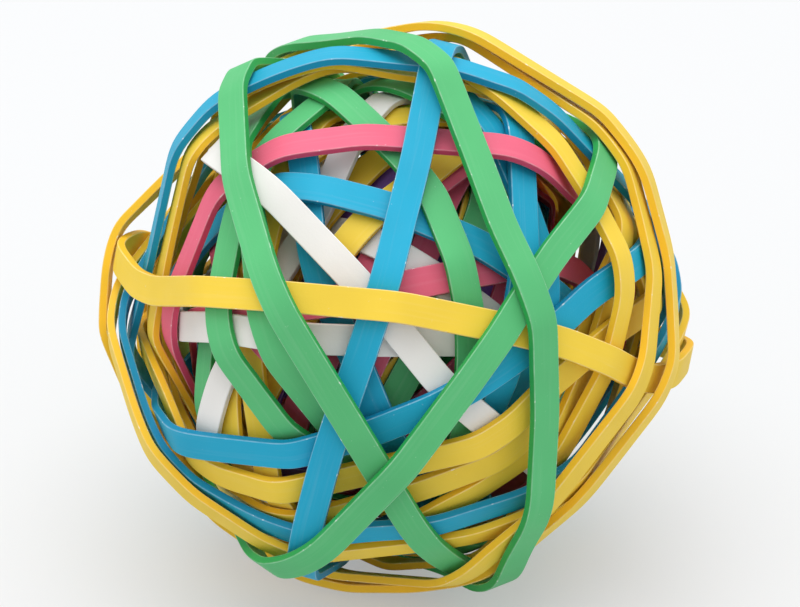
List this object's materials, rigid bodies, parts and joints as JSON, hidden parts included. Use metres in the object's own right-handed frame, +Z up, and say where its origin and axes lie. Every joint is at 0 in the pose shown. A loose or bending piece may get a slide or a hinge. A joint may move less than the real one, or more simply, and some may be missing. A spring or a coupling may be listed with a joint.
{
  "type": "rubber band ball",
  "caption": "Ball of flat coloured rubber bands wound tightly over one another, each band a separate piece round a fused inner winding.",
  "frame": {"origin": "middle of the ball's extents, close to its centre", "axes": "+Z up as the ball lay in the picture, -Y towards the viewer, +X to the viewer's right"},
  "size_m": [0.0652, 0.0594, 0.063],
  "materials": {
    "green_rubber": "matte natural rubber, slightly dusty",
    "blue_rubber": "matte natural rubber, slightly dusty",
    "pink_rubber": "matte natural rubber, slightly dusty",
    "yellow_rubber": "matte natural rubber, slightly dusty",
    "white_rubber": "matte natural rubber, slightly dusty",
    "purple_rubber": "matte natural rubber, slightly dusty",
    "inner_rubber": "matte natural rubber, slightly dusty"
  },
  "bodies": {
    "root": {"blue_band_1": "blue_rubber", "blue_band_2": "blue_rubber", "blue_band_3": "blue_rubber", "blue_band_4": "blue_rubber", "blue_band_5": "blue_rubber", "blue_band_6": "blue_rubber", "blue_band_7": "blue_rubber", "blue_band_8": "blue_rubber", "blue_band_9": "blue_rubber", "green_band_1": "green_rubber", "green_band_10": "green_rubber", "green_band_11": "green_rubber", "green_band_2": "green_rubber", "green_band_3": "green_rubber", "green_band_4": "green_rubber", "green_band_5": "green_rubber", "green_band_6": "green_rubber", "green_band_7": "green_rubber", "green_band_8": "green_rubber", "green_band_9": "green_rubber", "inner_winding": "inner_rubber", "pink_band_1": "pink_rubber", "pink_band_2": "pink_rubber", "pink_band_3": "pink_rubber", "pink_band_4": "pink_rubber", "pink_band_5": "pink_rubber", "pink_band_6": "pink_rubber", "purple_band_1": "purple_rubber", "purple_band_2": "purple_rubber", "purple_band_3": "purple_rubber", "purple_band_4": "purple_rubber", "white_band_1": "white_rubber", "white_band_2": "white_rubber", "white_band_3": "white_rubber", "white_band_4": "white_rubber", "white_band_5": "white_rubber", "white_band_6": "white_rubber", "yellow_band_1": "yellow_rubber", "yellow_band_10": "yellow_rubber", "yellow_band_11": "yellow_rubber", "yellow_band_12": "yellow_rubber", "yellow_band_13": "yellow_rubber", "yellow_band_14": "yellow_rubber", "yellow_band_15": "yellow_rubber", "yellow_band_16": "yellow_rubber", "yellow_band_2": "yellow_rubber", "yellow_band_3": "yellow_rubber", "yellow_band_4": "yellow_rubber", "yellow_band_5": "yellow_rubber", "yellow_band_6": "yellow_rubber", "yellow_band_7": "yellow_rubber", "yellow_band_8": "yellow_rubber", "yellow_band_9": "yellow_rubber"}
  },
  "joints": []
}
